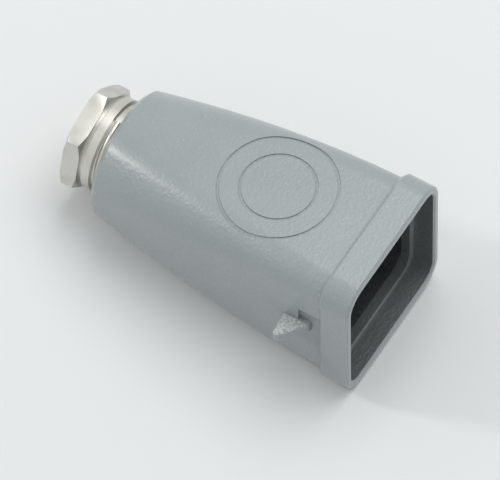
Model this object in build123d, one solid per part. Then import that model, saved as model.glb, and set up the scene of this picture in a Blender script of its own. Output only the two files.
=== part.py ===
from build123d import *
import math
import os

# The hood lies on its side. Its axis is X, from the cable entry (-X) to the mouth (+X).
# The origin is the centre of the mouth plane. Lengths are millimetres, Z is up.

# Mouth and collar
mouth_width = 24.0  # clear width across Y
mouth_height = 23.4  # clear height along Z
mouth_corner = 2.8  # corner radius of the clear opening
rim_side = 1.25  # collar wall on the left and right
rim_top = 1.55  # collar wall above and below
collar_corner = 4.4
collar_length = 5.2
collar_back_bevel = 0.55
rim_edge_bevel = 0.3
recess_depth = 3.7  # from the mouth plane to the ledge that the insert's flange meets

# Tapered body
body_step = 0.82  # how far the body stands back from the collar
body_length = 42.0  # from the collar's back to the cable end
body_wall = 1.45
body_corner = 4.1
neck_width = 20.4
neck_height = 19.0
neck_flat = 0.8  # straight part left in the neck's shorter walls between the corners
neck_edge_bevel = 0.8
corner_growth = 1.44  # power by which the corners open out towards the cable end
taper_power = 2.0  # the walls leave the collar straight and curve in
body_stations = 4
cavity_stations = 3
cavity_corner_least = 1.6

# Round badge field on top of the body, left bare
badge_from_mouth = 20.0
badge_outer_radius = 9.1
badge_inner_radius = 5.8
badge_groove_width = 0.5
badge_groove_depth = 0.2

# Latch lugs on both side walls, and the scoop that clears the lever beside each
lug_reach = 4.0  # how far a lug stands out from the wall
lug_height = 2.3
lug_root_length = 4.3
lug_nose_length = 0.8
lug_behind_collar = 2.0  # from the collar's back to the foot of the ramp
lug_back_lean = 0.3
lug_edge_bevel = 0.3
scoop_radius = 12.0
scoop_depth = 0.7
scoop_length = 3.9

# Cable gland: pressure screw, two washers and the sealing ring, from the outside in
thread_radius = 7.6
thread_clearance = 0.05
cable_bore_radius = 4.9
hex_across_flats = 15.2
hex_turn = 15.0  # degrees between a corner and the vertical, as the screw stands
hex_thickness = 2.8
hex_face_radius = 7.9  # the turned chamfers leave a round face of this radius
hex_chamfer_angle = 30.0
shank_out = 3.7  # shank that shows between the hexagon and the hood
shank_in = 6.6
relief_radius = 7.15  # undercut beside the hexagon
relief_length = 0.5
lead_in_depth = 0.5
washer_thickness = 1.0
washer_clearance = 0.15
ring_length = 5.0
ring_clearance = 0.05
shoulder_thickness = 1.6

collar_width = mouth_width + 2 * rim_side
collar_height = mouth_height + 2 * rim_top
body_width = collar_width - 2 * body_step
body_height = collar_height - 2 * body_step
neck_corner = (min(neck_width, neck_height) - neck_flat) / 2
body_start = -collar_length
neck_end = body_start - body_length
bore_radius = thread_radius + thread_clearance
shank_end = neck_end + shank_in
ring_start = shank_end + washer_thickness
back_washer_start = ring_start + ring_length
bore_floor = back_washer_start + washer_thickness
cavity_end = bore_floor + shoulder_thickness
head_inner_face = neck_end - shank_out
head_outer_face = head_inner_face - hex_thickness
hex_corner_radius = hex_across_flats / math.sqrt(3)
overrun = 1.0  # how far cutters run past the faces that they open


def across(x):
    """Plane square to the axis, local X along Y and local Y along Z, looking to +X."""
    return Plane(origin=(x, 0, 0), x_dir=(0, 1, 0), z_dir=(1, 0, 0))


def cylinder_between(x_low, x_high, radius):
    return extrude(across(x_low) * Circle(radius), x_high - x_low)


def tube_between(x_low, x_high, outer, inner):
    return extrude(across(x_low) * (Circle(outer) - Circle(inner)), x_high - x_low)


def rounded_block(x_low, x_high, width, height, corner):
    return extrude(across(x_low) * RectangleRounded(width, height, corner), x_high - x_low)


def share_along_body(x):
    return (body_start - x) / body_length


def body_size_at(x):
    share = share_along_body(x) ** taper_power
    width = body_width + (neck_width - body_width) * share
    height = body_height + (neck_height - body_height) * share
    corner = body_corner + (neck_corner - body_corner) * share_along_body(x) ** corner_growth
    return width, height, corner


def body_sections(x_far, inset, stations):
    """Outlines of the body from the collar's back to x_far, shrunk by inset on every side."""
    sections = []
    for i in range(stations):
        x = body_start + (x_far - body_start) * i / (stations - 1)
        width, height, corner = body_size_at(x)
        corner = max(corner - inset, cavity_corner_least)
        section = RectangleRounded(width - 2 * inset, height - 2 * inset, corner)
        sections.append(across(x) * section)
    return sections


def tapered_body(inset):
    return loft(body_sections(neck_end, inset, body_stations))


def make_collar():
    collar = rounded_block(body_start, 0, collar_width, collar_height, collar_corner)
    back = collar.faces().sort_by(Axis.X)[0].edges()
    collar = chamfer(back, collar_back_bevel)
    front = collar.faces().sort_by(Axis.X)[-1].edges()
    return chamfer(front, rim_edge_bevel)


def make_cavity():
    """Everything hollow: mouth recess, main cavity, cable hole and threaded bore."""
    recess = rounded_block(-recess_depth, overrun, mouth_width, mouth_height, mouth_corner)
    inner_width = body_width - 2 * body_wall
    inner_height = body_height - 2 * body_wall
    inner_corner = body_corner - body_wall
    straight = rounded_block(body_start, -recess_depth, inner_width, inner_height, inner_corner)
    tapered = loft(body_sections(cavity_end, body_wall, cavity_stations), ruled=True)
    cable_hole = cylinder_between(bore_floor - overrun, cavity_end + overrun, cable_bore_radius)
    bore = cylinder_between(neck_end - overrun, bore_floor, bore_radius)
    return recess + straight + tapered + cable_hole + bore


def badge_groove(radius):
    """A ring groove of even depth in the curved top of the body."""
    tall = collar_height
    ring = Circle(radius + badge_groove_width / 2) - Circle(radius - badge_groove_width / 2)
    prism = extrude(Pos(-badge_from_mouth, 0, 0) * ring, tall)
    return prism - tapered_body(badge_groove_depth)


def lug_profile(wall):
    """Plan of the lug on the +Y side: lean back face, short nose, long ramp to the mouth."""
    foot = body_start - lug_behind_collar
    heel = foot - lug_root_length
    nose = heel + lug_back_lean
    tip = wall + lug_reach
    points = [
        (heel, wall - body_wall / 2),
        (heel, wall),
        (nose, tip),
        (nose + lug_nose_length, tip),
        (foot, wall),
        (foot, wall - body_wall / 2),
    ]
    return make_face(Polyline(*points, close=True))


def make_lug():
    lug = extrude(Pos(0, 0, -lug_height / 2) * lug_profile(body_width / 2), lug_height)
    outside = [e for e in lug.edges() if e.center().Y > body_width / 2 + lug_edge_bevel]
    return chamfer(outside, lug_edge_bevel)


def lever_scoop():
    """Shallow hollow in the +Y wall between the lug's ramp and the collar."""
    centre = body_width / 2 - scoop_depth + scoop_radius
    start = body_start - scoop_length
    return Pos(0, centre, 0) * cylinder_between(start, body_start, scoop_radius)


def make_hood():
    body = tapered_body(0)
    end_edges = body.faces().sort_by(Axis.X)[0].edges()
    body = chamfer(end_edges, neck_edge_bevel)
    scoop = lever_scoop()
    body = body - scoop - mirror(scoop, about=Plane.XZ)
    lug = make_lug()
    shell = body + make_collar() + lug + mirror(lug, about=Plane.XZ)
    shell = shell - make_cavity()
    shell = shell - badge_groove(badge_outer_radius) - badge_groove(badge_inner_radius)
    mouth_edge = shell.faces().sort_by(Axis.X)[-1].inner_wires()[0].edges()
    return chamfer(mouth_edge, rim_edge_bevel)


def make_hex_head():
    """Hexagon whose corners are turned back to a cone on both faces."""
    hexagon = RegularPolygon(hex_across_flats / 2, 6, major_radius=False, rotation=30 - hex_turn)
    prism = extrude(across(head_outer_face) * hexagon, hex_thickness)
    cone_depth = (hex_corner_radius - hex_face_radius) * math.tan(math.radians(hex_chamfer_angle))
    profile = [
        (head_outer_face, 0),
        (head_outer_face, hex_face_radius),
        (head_outer_face + cone_depth, hex_corner_radius),
        (head_inner_face - cone_depth, hex_corner_radius),
        (head_inner_face, hex_face_radius),
        (head_inner_face, 0),
    ]
    turned = revolve(make_face(Polyline(*profile, close=True)), Axis.X)
    return prism & turned


def make_pressure_screw():
    shank = cylinder_between(head_inner_face, shank_end, thread_radius)
    tip_edge = shank.edges().filter_by(GeomType.CIRCLE).sort_by(Axis.X)[-1]
    shank = chamfer(tip_edge, lead_in_depth)
    relief_end = head_inner_face + relief_length
    relief = tube_between(head_inner_face, relief_end, thread_radius + overrun, relief_radius)
    screw = make_hex_head() + (shank - relief)
    bore = cylinder_between(head_outer_face - overrun, shank_end + overrun, cable_bore_radius)
    screw = screw - bore
    bore_edges = screw.edges().filter_by(GeomType.CIRCLE)
    mouth_edges = [e for e in bore_edges if abs(e.radius - cable_bore_radius) < thread_clearance]
    return chamfer(mouth_edges, lead_in_depth)


def make_washer(start):
    outer = bore_radius - washer_clearance
    return tube_between(start, start + washer_thickness, outer, cable_bore_radius)


def make_sealing_ring():
    outer = bore_radius - ring_clearance
    return tube_between(ring_start, back_washer_start, outer, cable_bore_radius)


def write_parts():
    os.makedirs("parts", exist_ok=True)
    nodes = {
        "hood_shell": make_hood(),
        "pressure_screw": make_pressure_screw(),
        "thrust_washer": make_washer(shank_end),
        "sealing_ring": make_sealing_ring(),
        "back_washer": make_washer(back_washer_start),
    }
    for name, shape in nodes.items():
        export_step(shape, "parts/" + name + ".step")


write_parts()
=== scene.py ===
import math

import bmesh
import bpy
from mathutils import Matrix, Vector


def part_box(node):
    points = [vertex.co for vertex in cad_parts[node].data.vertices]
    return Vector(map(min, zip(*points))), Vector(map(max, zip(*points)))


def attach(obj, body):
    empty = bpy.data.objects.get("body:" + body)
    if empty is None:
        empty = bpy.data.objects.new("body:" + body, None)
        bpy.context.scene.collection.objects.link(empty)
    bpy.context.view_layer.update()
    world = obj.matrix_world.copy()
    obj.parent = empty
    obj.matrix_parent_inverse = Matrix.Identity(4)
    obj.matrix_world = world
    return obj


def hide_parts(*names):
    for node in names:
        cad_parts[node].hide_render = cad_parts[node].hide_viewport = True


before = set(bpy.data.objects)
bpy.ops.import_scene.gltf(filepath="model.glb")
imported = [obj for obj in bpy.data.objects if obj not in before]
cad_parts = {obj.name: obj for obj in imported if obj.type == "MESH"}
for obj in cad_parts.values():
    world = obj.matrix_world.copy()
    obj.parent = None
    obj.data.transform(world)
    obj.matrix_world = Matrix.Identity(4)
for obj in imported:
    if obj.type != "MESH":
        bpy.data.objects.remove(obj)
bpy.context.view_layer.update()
print("frame loaded:", sorted(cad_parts))

mm = 0.001
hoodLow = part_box("hood_shell")[0]
screwLow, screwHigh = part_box("pressure_screw")
neckEnd = hoodLow.x  # the cable end of the casting
underside = hoodLow.z


# Meshes

def newPiece(name, bm):
    mesh = bpy.data.meshes.new(name)
    bm.to_mesh(mesh)
    bm.free()
    piece = bpy.data.objects.new(name, mesh)
    bpy.context.scene.collection.objects.link(piece)
    return piece


def shadeByAngle(bm, angle=math.radians(30)):
    for face in bm.faces:
        face.smooth = True
    for edge in bm.edges:
        edge.smooth = len(edge.link_faces) != 2 or edge.calc_face_angle() < angle


def shadePiece(piece):
    bm = bmesh.new()
    bm.from_mesh(piece.data)
    shadeByAngle(bm)
    bm.to_mesh(piece.data)
    bm.free()


# makes what a piece's modifiers show its own mesh
def settle(piece):
    bpy.context.view_layer.update()
    ready = piece.evaluated_get(bpy.context.evaluated_depsgraph_get())
    mesh = bpy.data.meshes.new_from_object(ready)
    piece.modifiers.clear()
    piece.data = mesh


# Nodes of a material

def feed(tree, socket, value):
    if isinstance(value, bpy.types.NodeSocket):
        tree.links.new(value, socket)
    else:
        socket.default_value = value


# a node whose inputs are named with an underscore for each space
def addNode(tree, kind, settings=None, **inputs):
    node = tree.nodes.new(kind)
    for name, value in (settings or {}).items():
        setattr(node, name, value)
    for name, value in inputs.items():
        feed(tree, node.inputs[name.replace("_", " ")], value)
    return node


def calc(tree, operation, *values):
    node = addNode(tree, "ShaderNodeMath", {"operation": operation})
    for socket, value in zip(node.inputs, values):
        feed(tree, socket, value)
    return node.outputs[0]


# one colour laid over another as far as the mask says
def overlay(tree, under, over, mask):
    mix = addNode(tree, "ShaderNodeMix", {"data_type": "RGBA"})
    feed(tree, mix.inputs[0], mask)
    feed(tree, mix.inputs[6], under)
    feed(tree, mix.inputs[7], over)
    return mix.outputs[2]


def objectPlace(tree):
    return tree.nodes.new("ShaderNodeTexCoord").outputs["Object"]


def splitAxes(tree, place):
    return addNode(tree, "ShaderNodeSeparateXYZ", Vector=place).outputs


def addNoise(tree, place, **inputs):
    return addNode(tree, "ShaderNodeTexNoise", Vector=place, **inputs).outputs["Fac"]


def setRoughness(tree, shader, mask, limits):
    spread = addNode(tree, "ShaderNodeMapRange", Value=mask, To_Min=limits[0], To_Max=limits[1])
    tree.links.new(spread.outputs["Result"], shader.inputs["Roughness"])


def setBump(tree, shader, height, strength, depth):
    bump = addNode(tree, "ShaderNodeBump", Height=height, Strength=strength, Distance=depth)
    tree.links.new(bump.outputs["Normal"], shader.inputs["Normal"])


def newGroup(name, inputs, outputs):
    group = bpy.data.node_groups.new(name, "ShaderNodeTree")
    for socketName, value in inputs.items():
        socket = group.interface.new_socket(socketName, in_out="INPUT", socket_type="NodeSocketFloat")
        socket.default_value = value
    for socketName in outputs:
        group.interface.new_socket(socketName, in_out="OUTPUT", socket_type="NodeSocketFloat")
    start = group.nodes.new("NodeGroupInput")
    end = group.nodes.new("NodeGroupOutput")
    return group, start.outputs, end.inputs


def useGroup(tree, group):
    return addNode(tree, "ShaderNodeGroup", {"node_tree": group}).outputs


def newMaterial(name):
    material = bpy.data.materials.new(name)
    material.use_nodes = True
    tree = material.node_tree
    return material, tree, tree.nodes["Principled BSDF"]


# Powder coat of the hood, with painted shade inside and a painted highlight on the lugs

pebbles = {
    "smoothness": 0.7,
    "waveDetail": 3.0,
    "waveRoughness": 0.55,
    "waveShare": 0.55,
    "grainFineness": 1.6,  # grains to a pebble
    "grainDetail": 4.0,
    "grainRoughness": 0.6,
    "grainShare": 0.5,
    "mottleScale": 95.0,
}


# height, speck mask and broad mottle of a textured powder coat
def makePebbleGroup():
    scales = {"pebbleScale": 2000.0, "waveScale": 900.0, "speckLevel": 0.66}
    group, start, end = newGroup("pebbleCoat", scales, ("height", "specks", "mottle"))
    place = objectPlace(group)
    cells = addNode(
        group,
        "ShaderNodeTexVoronoi",
        {"feature": "SMOOTH_F1"},
        Vector=place,
        Scale=start["pebbleScale"],
        Smoothness=pebbles["smoothness"],
    ).outputs["Distance"]
    waves = addNoise(
        group,
        place,
        Scale=start["waveScale"],
        Detail=pebbles["waveDetail"],
        Roughness=pebbles["waveRoughness"],
    )
    grain = addNoise(
        group,
        place,
        Scale=calc(group, "MULTIPLY", start["pebbleScale"], pebbles["grainFineness"]),
        Detail=pebbles["grainDetail"],
        Roughness=pebbles["grainRoughness"],
    )
    relief = calc(group, "MULTIPLY_ADD", waves, pebbles["waveShare"], cells)
    feed(group, end["height"], calc(group, "MULTIPLY_ADD", grain, pebbles["grainShare"], relief))
    feed(group, end["specks"], calc(group, "GREATER_THAN", grain, start["speckLevel"]))
    feed(group, end["mottle"], addNoise(group, place, Scale=pebbles["mottleScale"]))
    return group


# outline of the hood's body, to tell its inner walls, where shade is painted, from its outer ones
shell = {
    "start": -5.2 * mm,
    "length": 42.0 * mm,
    "half": 12.43 * mm,
    "halfLoss": 2.55 * mm,
    "taperPower": 2.0,
    "corner": 4.1 * mm,
    "cornerGain": 5.0 * mm,
    "cornerPower": 1.44,
    "wallMiddle": -0.75 * mm,  # from the outer face
    "recessGain": 0.55 * mm,  # the wall is thinner round the recess
    "rimBevel": -0.32 * mm,
    "neckInside": -46.3 * mm,
    "ledge": -3.7 * mm,
    "ledgeBand": 0.06 * mm,
    "ledgeShadeFade": 0.35,
}


# painted shade: 1 on the inner walls of a tapered rounded box, less in the recess and on the ledge's face, 0
# on the outer walls
def makeInsideShadeGroup():
    group, start, end = newGroup("insideShadeMask", {"recessShadeFade": 0.32}, ("paintedInsideShade",))
    axes = splitAxes(group, objectPlace(group))
    x = axes["X"]
    back = calc(group, "MULTIPLY", calc(group, "SUBTRACT", shell["start"], x), 1 / shell["length"])
    share = calc(group, "MINIMUM", calc(group, "MAXIMUM", back, 0.0), 1.0)
    loss = calc(group, "MULTIPLY", calc(group, "POWER", share, shell["taperPower"]), shell["halfLoss"])
    gain = calc(group, "MULTIPLY", calc(group, "POWER", share, shell["cornerPower"]), shell["cornerGain"])
    corner = calc(group, "ADD", gain, shell["corner"])
    core = calc(group, "SUBTRACT", calc(group, "SUBTRACT", shell["half"], loss), corner)
    squares = []
    for axis in ("Y", "Z"):
        beyondCore = calc(group, "SUBTRACT", calc(group, "ABSOLUTE", axes[axis]), core)
        squares.append(calc(group, "POWER", calc(group, "MAXIMUM", beyondCore, 0.0), 2.0))
    radius = calc(group, "SQRT", calc(group, "ADD", *squares))
    depth = calc(group, "SUBTRACT", radius, corner)
    behindRim = calc(group, "LESS_THAN", x, shell["rimBevel"])
    pastNeck = calc(group, "GREATER_THAN", x, shell["neckInside"])
    recess = calc(group, "MULTIPLY", calc(group, "GREATER_THAN", x, shell["start"]), behindRim)
    limit = calc(group, "MULTIPLY_ADD", recess, shell["recessGain"], shell["wallMiddle"])
    inner = calc(group, "MULTIPLY", calc(group, "LESS_THAN", depth, limit), behindRim)
    inner = calc(group, "MULTIPLY", inner, pastNeck)
    # a narrow band on the ledge's face gets less of the painted shade
    fromLedge = calc(group, "ABSOLUTE", calc(group, "SUBTRACT", x, shell["ledge"]))
    onLedge = calc(group, "LESS_THAN", fromLedge, shell["ledgeBand"])
    ledgeShadeFade = calc(group, "MULTIPLY", onLedge, shell["ledgeShadeFade"])
    paler = calc(group, "MULTIPLY_ADD", recess, start["recessShadeFade"], ledgeShadeFade)
    feed(group, end["paintedInsideShade"], calc(group, "MULTIPLY", inner, calc(group, "SUBTRACT", 1.0, paler)))
    return group


lugEdge = {
    "height": 1.0 * mm,
    "halfBand": 0.2 * mm,
    "wall": 12.6 * mm,
    "behind": -6.7 * mm,
    "detail": 4.0,
    "patchRoughness": 0.7,
    "patchFrom": 0.38,
    "patchTo": 0.58,
}


# painted highlight along the edges of the latch lugs, made patchy by noise
def makeLugHighlightGroup():
    group, start, end = newGroup("lugHighlightMask", {"highlightPatchScale": 2600.0}, ("highlightMask",))
    place = objectPlace(group)
    axes = splitAxes(group, place)
    height = calc(group, "ABSOLUTE", axes["Z"])
    band = calc(group, "COMPARE", height, lugEdge["height"], lugEdge["halfBand"])
    outside = calc(group, "GREATER_THAN", calc(group, "ABSOLUTE", axes["Y"]), lugEdge["wall"])
    behind = calc(group, "LESS_THAN", axes["X"], lugEdge["behind"])
    patchy = addNoise(
        group,
        place,
        Scale=start["highlightPatchScale"],
        Detail=lugEdge["detail"],
        Roughness=lugEdge["patchRoughness"],
    )
    limits = {"From_Min": lugEdge["patchFrom"], "From_Max": lugEdge["patchTo"]}
    patchyHighlight = addNode(group, "ShaderNodeMapRange", Value=patchy, **limits).outputs["Result"]
    where = calc(group, "MULTIPLY", calc(group, "MULTIPLY", band, outside), behind)
    feed(group, end["highlightMask"], calc(group, "MULTIPLY", where, patchyHighlight))
    return group


coat = {
    "deep": (0.295, 0.322, 0.322, 1),
    "pale": (0.345, 0.372, 0.374, 1),
    "speck": (0.44, 0.47, 0.47, 1),
    # painted shade of the inner walls
    "paintedInsideShade": (0.045, 0.052, 0.054, 1),
    # painted highlight on the lugs' edges
    "paintedLugHighlight": (0.66, 0.68, 0.67, 1),
    "roughness": (0.26, 0.44),
    "gloss": 0.55,
    "glossRoughness": 0.24,
    "bumpStrength": 0.75,
    "bumpDepth": 0.09 * mm,
}


def makePowderCoat():
    material, tree, shader = newMaterial("texturedPowderCoat")
    pebble = useGroup(tree, makePebbleGroup())
    wall = useGroup(tree, makeInsideShadeGroup())
    edge = useGroup(tree, makeLugHighlightGroup())
    colour = overlay(tree, coat["deep"], coat["pale"], pebble["mottle"])
    colour = overlay(tree, colour, coat["speck"], pebble["specks"])
    # painted shade darkens the inner walls
    colour = overlay(tree, colour, coat["paintedInsideShade"], wall["paintedInsideShade"])
    # painted highlight on the lugs' edges
    colour = overlay(tree, colour, coat["paintedLugHighlight"], edge["highlightMask"])
    feed(tree, shader.inputs["Base Color"], colour)
    setRoughness(tree, shader, pebble["mottle"], coat["roughness"])
    setBump(tree, shader, pebble["height"], coat["bumpStrength"], coat["bumpDepth"])
    shader.inputs["Coat Weight"].default_value = coat["gloss"]
    shader.inputs["Coat Roughness"].default_value = coat["glossRoughness"]
    return material


# Metal and rubber of the gland

plate = {
    "bright": (0.64, 0.625, 0.59, 1),
    "dull": (0.55, 0.535, 0.50, 1),
    "cloudScale": 260.0,
    "cloudDetail": 4.0,
    "cloudFrom": 0.3,
    "cloudTo": 0.55,
    "roughness": (0.29, 0.43),
    "lineScale": 5200.0,
    "lineStrength": 0.25,
    "lineDepth": 0.01 * mm,
}


# bright nickel with faint turning marks round X and a little tarnish
def makeNickelPlate():
    material, tree, shader = newMaterial("nickelPlate")
    place = objectPlace(tree)
    along = addNode(tree, "ShaderNodeCombineXYZ", X=splitAxes(tree, place)["X"]).outputs[0]
    turning = addNoise(tree, along, Scale=plate["lineScale"])
    cloud = addNoise(tree, place, Scale=plate["cloudScale"], Detail=plate["cloudDetail"])
    limits = {"From_Min": plate["cloudFrom"], "From_Max": plate["cloudTo"]}
    clear = addNode(tree, "ShaderNodeMapRange", Value=cloud, **limits).outputs["Result"]
    feed(tree, shader.inputs["Base Color"], overlay(tree, plate["dull"], plate["bright"], clear))
    setRoughness(tree, shader, cloud, plate["roughness"])
    setBump(tree, shader, turning, plate["lineStrength"], plate["lineDepth"])
    shader.inputs["Metallic"].default_value = 1.0
    return material


zinc = {
    "dark": (0.42, 0.43, 0.42, 1),
    "light": (0.62, 0.62, 0.6, 1),
    "crystalScale": 900.0,
    "roughness": (0.3, 0.5),
}


def makeZincSteel():
    material, tree, shader = newMaterial("zincSteel")
    cells = addNode(tree, "ShaderNodeTexVoronoi", Vector=objectPlace(tree), Scale=zinc["crystalScale"])
    crystals = cells.outputs["Distance"]
    feed(tree, shader.inputs["Base Color"], overlay(tree, zinc["dark"], zinc["light"], crystals))
    setRoughness(tree, shader, crystals, zinc["roughness"])
    shader.inputs["Metallic"].default_value = 1.0
    return material


rubber = {
    "black": (0.012, 0.012, 0.013, 1),
    "bloom": (0.05, 0.05, 0.052, 1),
    "bloomScale": 600.0,
    "bloomDetail": 4.0,
    "roughness": (0.55, 0.8),
    "bumpStrength": 0.3,
    "bumpDepth": 0.03 * mm,
}


def makeSealRubber():
    material, tree, shader = newMaterial("sealRubber")
    bloom = addNoise(tree, objectPlace(tree), Scale=rubber["bloomScale"], Detail=rubber["bloomDetail"])
    feed(tree, shader.inputs["Base Color"], overlay(tree, rubber["black"], rubber["bloom"], bloom))
    setRoughness(tree, shader, bloom, rubber["roughness"])
    setBump(tree, shader, bloom, rubber["bumpStrength"], rubber["bumpDepth"])
    return material


# Pressure screw: hexagon head, plain neck and a real helical thread

screw = {
    "acrossFlats": 15.2 * mm,
    "headThickness": 2.8 * mm,
    "faceRadius": 7.9 * mm,  # round face that the chamfers leave
    "chamferAngle": math.radians(30),
    "cornerTurn": math.radians(15),  # from the vertical
    "cornerSlack": 1.002,  # the turned blank stays clear of the corners
    "edgeRound": 0.12 * mm,
    "edgeSegments": 3,
    "edgeAngle": math.radians(24),  # edges sharper than this are rounded
    "boreRadius": 4.9 * mm,
    "leadIn": 0.5 * mm,
    "shankSink": 0.05 * mm,  # how far the shank reaches into the head
    "reliefRadius": 7.15 * mm,
    "reliefLength": 0.5 * mm,
    "reliefSlope": 0.2 * mm,
    "plainLength": 2.3 * mm,  # from the head to the first turn
    "plainSlope": 0.25 * mm,
    "tipLength": 0.1 * mm,
    "tipDrop": 0.15 * mm,
    "steps": 96,
}

thread = {
    "radius": 7.6 * mm,
    "depth": 0.5 * mm,
    "pitch": 1.41 * mm,
    "startAhead": 0.1 * mm,  # of the end of the plain neck
    "tipGap": 0.3 * mm,
    "footSink": 0.05 * mm,
    "crestGap": 0.01 * mm,
    "shoulderDrop": 0.06 * mm,
    "foot": 0.46,  # half widths, in pitches
    "shoulder": 0.17,
    "crest": 0.09,
    "runOut": 0.9,  # pitches left free at the end
    "stepsPerTurn": 72,
}

headOuter = screwLow.x
headInner = headOuter + screw["headThickness"]
hexCorner = screw["acrossFlats"] / math.sqrt(3)
threadRoot = thread["radius"] - thread["depth"]
closeVerts = 1e-7  # metres


def makeHexBlank():
    bm = bmesh.new()
    bmesh.ops.create_circle(bm, segments=6, radius=hexCorner, cap_ends=True)
    upright = Matrix.Rotation(math.radians(90), 4, "Y")
    bmesh.ops.transform(bm, matrix=Matrix.Rotation(screw["cornerTurn"], 4, "Z"), verts=bm.verts)
    bmesh.ops.transform(bm, matrix=upright, verts=bm.verts)
    bmesh.ops.translate(bm, vec=(headOuter, 0, 0), verts=bm.verts)
    made = bmesh.ops.extrude_face_region(bm, geom=bm.faces[:])
    far = [part for part in made["geom"] if isinstance(part, bmesh.types.BMVert)]
    bmesh.ops.translate(bm, vec=(headInner - headOuter, 0, 0), verts=far)
    bmesh.ops.recalc_face_normals(bm, faces=bm.faces)
    return newPiece("screwHead", bm)


# a closed profile of (x, radius) turned round the X axis
def turnProfile(name, points):
    bm = bmesh.new()
    verts = [bm.verts.new((x, 0, radius)) for x, radius in points]
    edges = [bm.edges.new((verts[i - 1], verts[i])) for i in range(len(verts))]
    bmesh.ops.spin(
        bm,
        geom=verts + edges,
        cent=(0, 0, 0),
        axis=(1, 0, 0),
        angle=math.tau,
        steps=screw["steps"],
        use_merge=True,
    )
    bmesh.ops.remove_doubles(bm, verts=bm.verts, dist=closeVerts)
    bmesh.ops.recalc_face_normals(bm, faces=bm.faces)
    return newPiece(name, bm)


def makeScrewHead():
    rise = (hexCorner - screw["faceRadius"]) * math.tan(screw["chamferAngle"])
    wide = hexCorner * screw["cornerSlack"]
    bore, lead = screw["boreRadius"], screw["leadIn"]
    head = makeHexBlank()
    turned = turnProfile(
        "headTurned",
        [
            (headOuter, bore + lead),
            (headOuter, screw["faceRadius"]),
            (headOuter + rise, wide),
            (headInner - rise, wide),
            (headInner, screw["faceRadius"]),
            (headInner, bore),
            (headOuter + lead, bore),
        ],
    )
    cut = head.modifiers.new("chamfers", "BOOLEAN")
    cut.operation = "INTERSECT"
    cut.solver = "EXACT"
    cut.object = turned
    settle(head)
    bpy.data.objects.remove(turned)
    edges = head.modifiers.new("softEdges", "BEVEL")
    edges.width = screw["edgeRound"]
    edges.segments = screw["edgeSegments"]
    edges.limit_method = "ANGLE"
    edges.angle_limit = screw["edgeAngle"]
    settle(head)
    shadePiece(head)
    return head


# the tube under the thread, with the undercut beside the head
def makeScrewShank():
    start = headInner - screw["shankSink"]
    end = screwHigh.x
    reliefEnd = start + screw["reliefLength"]
    plainEnd = start + screw["plainLength"]
    lead, bore, full = screw["leadIn"], screw["boreRadius"], thread["radius"]
    shank = turnProfile(
        "screwShank",
        [
            (start, bore),
            (start, screw["reliefRadius"]),
            (reliefEnd, screw["reliefRadius"]),
            (reliefEnd + screw["reliefSlope"], full),
            (plainEnd - screw["plainSlope"], full),
            (plainEnd, threadRoot),
            (end - screw["tipLength"], threadRoot),
            (end, threadRoot - screw["tipDrop"]),
            (end, bore + lead),
            (end - lead, bore),
        ],
    )
    shadePiece(shank)
    return shank


# one ridge of rounded section, swept round and along the shank
def makeScrewThread():
    start = headInner + screw["plainLength"] - thread["startAhead"]
    end = screwHigh.x - thread["tipGap"]
    root = threadRoot - thread["footSink"]
    crest = thread["radius"] - thread["crestGap"]
    shoulder = crest - thread["shoulderDrop"]
    pitch = thread["pitch"]
    turns = (end - start - thread["runOut"] * pitch) / pitch
    outline = [
        (-thread["foot"], root),
        (-thread["shoulder"], shoulder),
        (-thread["crest"], crest),
        (thread["crest"], crest),
        (thread["shoulder"], shoulder),
        (thread["foot"], root),
    ]
    bm = bmesh.new()
    verts = [bm.verts.new((start + pitch * (thread["foot"] + share), 0, radius)) for share, radius in outline]
    edges = [bm.edges.new((verts[i], verts[i + 1])) for i in range(len(verts) - 1)]
    steps = int(thread["stepsPerTurn"] * turns)
    bmesh.ops.spin(
        bm,
        geom=verts + edges,
        cent=(0, 0, 0),
        axis=(1, 0, 0),
        dvec=(turns * pitch / steps, 0, 0),
        angle=math.tau * turns,
        steps=steps,
        use_merge=False,
    )
    bmesh.ops.holes_fill(bm, edges=[edge for edge in bm.edges if edge.is_boundary], sides=0)
    bmesh.ops.recalc_face_normals(bm, faces=bm.faces)
    shadeByAngle(bm)
    return newPiece("screwThread", bm)


# Dressing the nodes

zincSteel = makeZincSteel()
nodeMaterials = {
    "hood_shell": makePowderCoat(),
    "thrust_washer": zincSteel,
    "back_washer": zincSteel,
    "sealing_ring": makeSealRubber(),
}
for name, material in nodeMaterials.items():
    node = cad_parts[name]
    node.data.materials.clear()
    node.data.materials.append(material)
print("CAD nodes dressed")

nickelPlate = makeNickelPlate()
screwHead = makeScrewHead()
screwPieces = [screwHead, makeScrewShank(), makeScrewThread()]
for piece in screwPieces:
    piece.data.materials.clear()
    piece.data.materials.append(nickelPlate)
    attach(piece, "screw")
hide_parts("pressure_screw")
print("pressure screw made of", len(screwPieces), "pieces")


# Camera: a long lens at the photograph's angle

view = {
    "azimuth": 32.22,
    "elevation": 58.17,
    "roll": 1.06,
    "pixelsPerMetre": 6702.0,
    "mouthPixel": (393.37, 288.58),  # where the middle of the mouth falls
    "imageWidth": 500,
    "imageHeight": 480,
    "lens": 800.0,
    "sensor": 36.0,
    "clipNear": 0.1,  # clips as shares of the distance
    "clipFar": 4,
}


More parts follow.
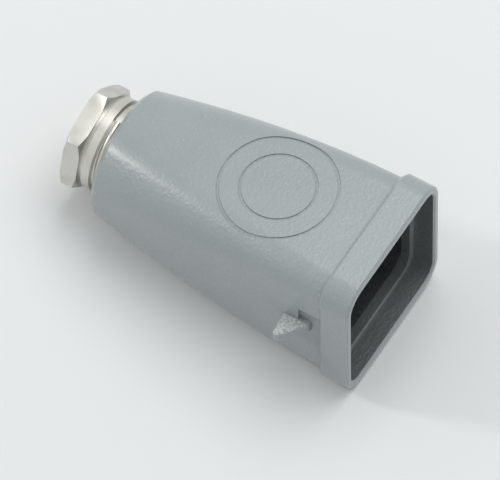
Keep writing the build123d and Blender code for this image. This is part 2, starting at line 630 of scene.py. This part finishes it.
def makeCamera():
    turn, rise, roll = (math.radians(view[angle]) for angle in ("azimuth", "elevation", "roll"))
    right = Vector((math.cos(turn), math.sin(turn), 0))
    up = Vector((-math.sin(turn) * math.sin(rise), math.cos(turn) * math.sin(rise), math.cos(rise)))
    tiltedRight = right * math.cos(roll) - up * math.sin(roll)
    tiltedUp = right * math.sin(roll) + up * math.cos(roll)
    back = tiltedRight.cross(tiltedUp)
    offsetX = (view["imageWidth"] / 2 - view["mouthPixel"][0]) / view["pixelsPerMetre"]
    offsetY = (view["mouthPixel"][1] - view["imageHeight"] / 2) / view["pixelsPerMetre"]
    aim = tiltedRight * offsetX + tiltedUp * offsetY
    distance = view["imageWidth"] / view["pixelsPerMetre"] * view["lens"] / view["sensor"]
    data = bpy.data.cameras.new("camera")
    data.lens = view["lens"]
    data.sensor_width = view["sensor"]
    data.clip_start = distance * view["clipNear"]
    data.clip_end = distance * view["clipFar"]
    camera = bpy.data.objects.new("camera", data)
    axes = Matrix((tiltedRight, tiltedUp, back)).transposed()
    camera.matrix_world = Matrix.Translation(aim + back * distance) @ axes.to_4x4()
    bpy.context.scene.collection.objects.link(camera)
    bpy.context.scene.camera = camera


# Floor, lamps and background

studio = {
    "floorSlope": 0.071,  # the hood rests on its collar and the belly of its body
    "restShare": 0.0985,  # where the floor meets the collar, on the way to the neck's end
    "floorSize": 3.0,
    "floorColour": (0.80, 0.81, 0.80, 1),
    "floorRoughness": 0.75,
    "worldColour": (0.93, 0.97, 1.0, 1),
    "worldStrength": 0.56,
    "backgroundColour": (0.80, 0.83, 0.80, 1),
}

lamps = {
    "overhead": {"place": (0.05, 0.22, 0.60), "size": 0.52, "power": 1.95, "colour": (1.0, 1.0, 1.0)},
    "left": {"place": (-0.64, -0.24, 0.54), "size": 0.12, "power": 1.3, "colour": (1.0, 0.99, 0.97)},
}


def makeFloor():
    bm = bmesh.new()
    bmesh.ops.create_grid(bm, x_segments=1, y_segments=1, size=studio["floorSize"])
    slope = Matrix.Rotation(math.atan(studio["floorSlope"]), 4, "Y")
    bmesh.ops.transform(bm, matrix=slope, verts=bm.verts)
    bmesh.ops.translate(bm, vec=(neckEnd * studio["restShare"], 0, underside), verts=bm.verts)
    floor = newPiece("floor", bm)
    material, tree, shader = newMaterial("paleFloor")
    shader.inputs["Base Color"].default_value = studio["floorColour"]
    shader.inputs["Roughness"].default_value = studio["floorRoughness"]
    floor.data.materials.append(material)


def makeLamps():
    target = Vector((neckEnd / 2, 0, 0))
    for name, lamp in lamps.items():
        data = bpy.data.lights.new(name, "AREA")
        data.shape = "DISK"
        data.size = lamp["size"]
        data.energy = lamp["power"]
        data.color = lamp["colour"]
        holder = bpy.data.objects.new(name, data)
        holder.location = lamp["place"]
        holder.rotation_mode = "QUATERNION"
        holder.rotation_quaternion = (target - holder.location).to_track_quat("-Z", "Y")
        bpy.context.scene.collection.objects.link(holder)


# soft fill, and a plain background that the camera and reflections see
def makeWorld():
    world = bpy.data.worlds.new("studio")
    bpy.context.scene.world = world
    world.use_nodes = True
    tree = world.node_tree
    fill = tree.nodes["Background"]
    fill.inputs["Color"].default_value = studio["worldColour"]
    fill.inputs["Strength"].default_value = studio["worldStrength"]
    seen = addNode(tree, "ShaderNodeBackground", Color=studio["backgroundColour"])
    rays = tree.nodes.new("ShaderNodeLightPath").outputs
    either = calc(tree, "MAXIMUM", rays["Is Camera Ray"], rays["Is Glossy Ray"])
    choose = addNode(tree, "ShaderNodeMixShader", Fac=either)
    tree.links.new(fill.outputs[0], choose.inputs[1])
    tree.links.new(seen.outputs[0], choose.inputs[2])
    tree.links.new(choose.outputs[0], tree.nodes["World Output"].inputs["Surface"])


makeCamera()
makeFloor()
makeLamps()
makeWorld()
bpy.context.scene.view_settings.view_transform = "Standard"
print("camera, floor and lamps in place")
